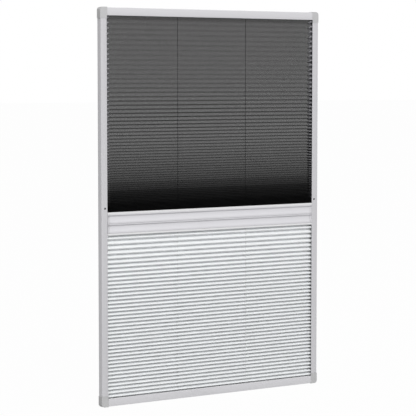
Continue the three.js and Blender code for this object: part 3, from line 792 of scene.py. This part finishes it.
def bar_run(sheet, number, up):
    """Middle line of a cord through its bar: in from the pleats, along the bar, and out to the stile.

    up is 1 where the pleats stand above the bar and -1 where they stand below it.
    """
    cords = settings("cords")
    column = np.mean(corners_of(f"{sheet}_cord_{number}_pleat_run"), axis=0)
    stile = np.mean(corners_of(f"{sheet}_cord_{number}_stile_run"), axis=0)
    low, high = corners_of(f"{sheet}_cord_{number}_bar_run")
    entry, tail = (high[2], low[2]) if up > 0 else (low[2], high[2])
    out = np.sign(stile[0] - column[0])
    bar_low, bar_high = corners_of(f"{sheet}_bar_profile")
    level = (bar_low[2] + bar_high[2]) / 2
    inward = arc((0, 0), cords.bend, 180, 270, cords.bend_rings)
    outward = arc((0, 0), cords.outlet, 90, 0, cords.bend_rings)
    inward = inward * (out, up) + (column[0] + out * cords.bend, level + up * cords.bend)
    outward = outward * (out, up) + (stile[0] - out * cords.outlet, level - up * cords.outlet)
    middle = np.linspace(inward[-1], outward[0], cords.bar_rings)[1:-1]
    line = np.concatenate([[[column[0], entry]], inward, middle, outward, [[stile[0], tail]]])
    return np.stack([line[:, 0], np.full(len(line), column[1]), line[:, 1]], 1)


class SCREEN_OT_cords(bpy.types.Operator):
    """Run the tension cords through the pleats, the bars and the stiles"""

    bl_idname = "pleated_screen.cords"
    bl_label = "Cords"

    def execute(self, context):
        for sheet, up, slot in (("mesh", 1, "black_cord"), ("shade", -1, "white_cord")):
            looks = finish_of(f"braided_{slot}")
            bar, joint = f"{sheet}_bar", f"{sheet}_bar_slide"
            for number in (1, 2):
                cord = f"{sheet}_cord_{number}"
                pieces = [
                    self.pleat_run(cord, joint, up, looks),
                    self.stile_run(cord, bar, up, looks),
                    cord_tube(f"{cord}_in_bar", bar_run(sheet, number, up), looks, bar)]
                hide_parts(f"{cord}_bar_run")
        return {"FINISHED"}

    def pleat_run(self, cord, joint, up, looks):
        """The stretch through the pleats."""
        path = straight_run(f"{cord}_pleat_run")
        piece = cord_tube(f"{cord}_in_pleats", path, looks, "frame")
        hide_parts(f"{cord}_pleat_run")
        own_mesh(piece)
        return piece

    def stile_run(self, cord, bar, up, looks):
        """The stretch in a stile, from a corner of the frame to the bar."""
        path = straight_run(f"{cord}_stile_run")
        piece = cord_tube(f"{cord}_in_stile", path, looks, None)
        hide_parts(f"{cord}_stile_run")
        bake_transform(piece)
        return piece


class SCREEN_OT_extrusions(bpy.types.Operator):
    """Finish the frame's stiles and rails and the strips that hold the sheets"""

    bl_idname = "pleated_screen.extrusions"
    bl_label = "Frame extrusions"

    def execute(self, context):
        for name in ("left_stile", "right_stile"):
            dress_node(name, "coated_stile")
        # The rails get the lighter copy of the powder coat, as painted light
        for name in ("top_rail", "bottom_rail"):
            dress_node(name, "coated_rail")
        for name in ("mesh_head_strip", "shade_foot_strip", "mesh_bar_clip", "shade_bar_clip"):
            dress_node(name, "clip_strip")
        return {"FINISHED"}


class SCREEN_OT_bars(bpy.types.Operator):
    """Finish the handle bars"""

    bl_idname = "pleated_screen.bars"
    bl_label = "Handle bars"

    def execute(self, context):
        for name in ("mesh_bar_profile", "shade_bar_profile"):
            dress_node(name, "coated_bar")
        return {"FINISHED"}


class SCREEN_OT_mouldings(bpy.types.Operator):
    """Finish the corner mouldings, end caps, eyelets, stops and cleats"""

    bl_idname = "pleated_screen.mouldings"
    bl_label = "Mouldings"

    def execute(self, context):
        for level in ("bottom", "top"):
            for side in ("left", "right"):
                dress_node(f"corner_{level}_{side}", "moulding")
        for sheet in ("mesh", "shade"):
            for side in ("left", "right"):
                dress_node(f"{sheet}_bar_{side}_cap", "cap_moulding")
            for number in (1, 2):
                dress_node(f"{sheet}_bar_eyelet_{number}", "fitting")
                dress_node(f"{sheet}_cord_{number}_stop", "fitting")
                dress_node(f"{sheet}_cord_{number}_cleat", "fitting")
        return {"FINISHED"}


def screw_surface(low, high, screws):
    """Points of a screw along Y, ring by ring, from the middle of its recessed head to its tip.

    Over the head, y rises with the share r of the head's radius as a dome r^4, and a cross recess is
    pressed into it, whose walls slope from 1.4 to 0.8 of its half width. The thread is a ridge round
    the shank whose height follows a triangle wave of y over the pitch less the turn.
    """
    head_radius = (high[0] - low[0]) / 2
    turn = np.linspace(0, 2 * math.pi, 97)[:-1]
    share = np.linspace(0, 1, 40) ** 0.8
    r = share[:, None] * head_radius
    x, z = r * np.cos(turn), r * np.sin(turn)
    beside_arm = np.minimum(np.abs(x), np.abs(z)) / screws.slot_half
    in_slot = np.clip((1.4 - beside_arm) / 0.6, 0, 1)
    along_arm = np.maximum(np.abs(x), np.abs(z))
    in_reach = np.clip((screws.recess_reach - along_arm) / screws.recess_end, 0, 1)
    dome = 0.45 * screws.head_height * share[:, None] ** 4
    y = low[1] + dome + screws.recess_depth * np.minimum(in_slot, in_reach)
    head = np.stack([x, y, z], -1)
    under = low[1] + screws.head_height
    y = np.linspace(under, high[1], 120)
    turns = (y - under) / screws.thread_pitch
    wave = np.abs((turns[:, None] - turn / (2 * math.pi)) % 1 - 0.5) * 2
    fade = np.clip(turns, 0, 1) * np.clip((high[1] - y) / screws.thread_pitch, 0, 1)
    r = screws.shank - screws.thread_height + screws.thread_height * wave * fade[:, None]
    r *= np.clip((high[1] - y) / screws.tip, 0.35, 1)[:, None]
    shank = np.stack([r * np.cos(turn), np.broadcast_to(y[:, None], r.shape), r * np.sin(turn)], -1)
    edge = np.stack([np.cos(turn), np.zeros(len(turn)), np.sin(turn)], -1) * head_radius
    rings = np.concatenate([head[1:], (edge + (0, under, 0))[None], shank])
    centre = np.array([(low[0] + high[0]) / 2, 0, (low[2] + high[2]) / 2])
    ends = np.array([[0, low[1] + screws.recess_depth, 0], [0, high[1], 0]])
    return rings + centre, ends + centre


class SCREEN_OT_screws(bpy.types.Operator):
    """Drive the cross-recessed fixing screws through the stiles"""

    bl_idname = "pleated_screen.screws"
    bl_label = "Fixing screws"

    def execute(self, context):
        for side in ("left", "right"):
            low, high = corners_of(f"{side}_fixing_screw")
            rings, ends = screw_surface(low, high, settings("screws"))
            rows, sides = rings.shape[:2]
            quads = grid_quads(rows, sides, closed_columns=True).reshape(-1, 4).tolist()
            first, last = rows * sides, rows * sides + 1
            base = (rows - 1) * sides
            fans = [[first, (i + 1) % sides, i] for i in range(sides)]
            fans += [[last, base + i, base + (i + 1) % sides] for i in range(sides)]
            points = np.concatenate([rings.reshape(-1, 3), ends])
            screw = mesh_piece(
                f"{side}_cross_screw", points, quads + fans, finish_of("dark_steel"), "frame")
            keep_sharp_above(screw, degrees=40)
            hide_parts(f"{side}_fixing_screw")
        return {"FINISHED"}


def plain_white(tree, amount, white, other, output):
    """Mixes plain white in for rays that come from the camera, from gloss or through a gap."""
    rays = add_node(tree, "ShaderNodeLightPath")
    seen = math_node(tree, "MAXIMUM", rays.outputs["Is Camera Ray"], rays.outputs["Is Glossy Ray"])
    seen = math_node(tree, "MAXIMUM", seen, rays.outputs["Is Transmission Ray"])
    share = math_node(tree, "MULTIPLY", seen, amount)
    mix = add_node(tree, "ShaderNodeMixShader", {0: share, 1: other, 2: white})
    tree.links.new(mix.outputs[0], output.inputs["Surface"])


class SCREEN_OT_stage(bpy.types.Operator):
    """Set up the camera, the lamp, the white surroundings and the floor"""

    bl_idname = "pleated_screen.stage"
    bl_label = "Camera and stage"

    def execute(self, context):
        stage = settings("stage")
        scene = context.scene
        scene.view_settings.view_transform = "Standard"
        self.camera(scene, stage)
        self.lamp(scene, stage)
        self.world(scene, stage)
        self.floor(stage)
        return {"FINISHED"}

    def camera(self, scene, stage):
        data = bpy.data.cameras.new("camera")
        data.lens = stage.lens
        data.sensor_width = stage.sensor
        camera = bpy.data.objects.new("camera", data)
        camera.location = stage.camera_place
        camera.rotation_euler = (math.pi / 2 - stage.camera_dip, 0, -stage.camera_turn)
        scene.collection.objects.link(camera)
        scene.camera = camera

    def lamp(self, scene, stage):
        data = bpy.data.lights.new("window_light", "AREA")
        data.energy = stage.lamp
        data.shape = "DISK"
        data.size = stage.lamp_width
        lamp = bpy.data.objects.new("window_light", data)
        lamp.location = stage.lamp_place
        lamp.rotation_euler = (stage.lamp_place - stage.lamp_aim).to_track_quat("Z", "Y").to_euler()
        scene.collection.objects.link(lamp)

    def world(self, scene, stage):
        world = bpy.data.worlds.new("surroundings")
        scene.world = world
        world.use_nodes = True
        tree = world.node_tree
        tree.nodes.clear()
        soft = add_node(tree, "ShaderNodeBackground", {"Color": (1, 1, 1, 1), "Strength": stage.ambient})
        white = add_node(tree, "ShaderNodeBackground", {"Color": (1, 1, 1, 1), "Strength": 1.0})
        plain_white(tree, 1.0, white.outputs[0], soft.outputs[0], add_node(tree, "ShaderNodeOutputWorld"))

    def floor(self, stage):
        half, level = stage.floor_half, CAD_BOX[0][2] - stage.floor_gap
        points = [[-half, -half, level], [half, -half, level], [half, half, level], [-half, half, level]]
        surface = bpy.data.materials.new("floor_paint")
        surface.use_nodes = True
        tree = surface.node_tree
        shader = tree.nodes["Principled BSDF"]
        shader.inputs["Base Color"].default_value = (*settings("looks").floor, 1)
        shader.inputs["Roughness"].default_value = 0.9
        white = add_node(tree, "ShaderNodeEmission", {"Color": (1, 1, 1, 1), "Strength": 1.0})
        output = tree.nodes["Material Output"]
        plain_white(tree, stage.floor_glow, white.outputs[0], shader.outputs[0], output)
        mesh_piece("floor", points, [[0, 1, 2, 3]], surface)


PIECES = (
    SCREEN_OT_stage,
    SCREEN_OT_extrusions,
    SCREEN_OT_bars,
    SCREEN_OT_mouldings,
    SCREEN_OT_insect_mesh,
    SCREEN_OT_shade,
    SCREEN_OT_cords,
    SCREEN_OT_screws,
)
SETTINGS = {
    "sheets": SheetSettings,
    "net": NetSettings,
    "cords": CordSettings,
    "screws": ScrewSettings,
    "looks": LookSettings,
    "stage": StageSettings,
}


class SCREEN_PT_panel(bpy.types.Panel):
    """Buttons for the screen's pieces, and the sizes and colours they use"""

    bl_idname = "SCREEN_PT_panel"
    bl_label = "Pleated insect screen"
    bl_space_type = "VIEW_3D"
    bl_region_type = "UI"
    bl_category = "Screen"

    def draw(self, context):
        for piece in PIECES:
            self.layout.operator(piece.bl_idname)
        for kind, group in SETTINGS.items():
            box = self.layout.box()
            for key in group.__annotations__:
                box.prop(settings(kind), key)


def register():
    for made in (*SETTINGS.values(), *PIECES, SCREEN_PT_panel):
        bpy.utils.register_class(made)
    for kind, group in SETTINGS.items():
        setattr(bpy.types.Scene, f"screen_{kind}", PointerProperty(type=group))


def unregister():
    for kind in SETTINGS:
        delattr(bpy.types.Scene, f"screen_{kind}")
    for made in reversed((*SETTINGS.values(), *PIECES, SCREEN_PT_panel)):
        bpy.utils.unregister_class(made)


def main():
    """Registers the add-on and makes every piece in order."""
    register()
    bpy.ops.pleated_screen.stage()
    bpy.ops.pleated_screen.extrusions()
    bpy.ops.pleated_screen.bars()
    bpy.ops.pleated_screen.mouldings()
    bpy.ops.pleated_screen.insect_mesh()
    bpy.ops.pleated_screen.shade()
    bpy.ops.pleated_screen.cords()
    bpy.ops.pleated_screen.screws()


if __name__ == "__main__":
    main()
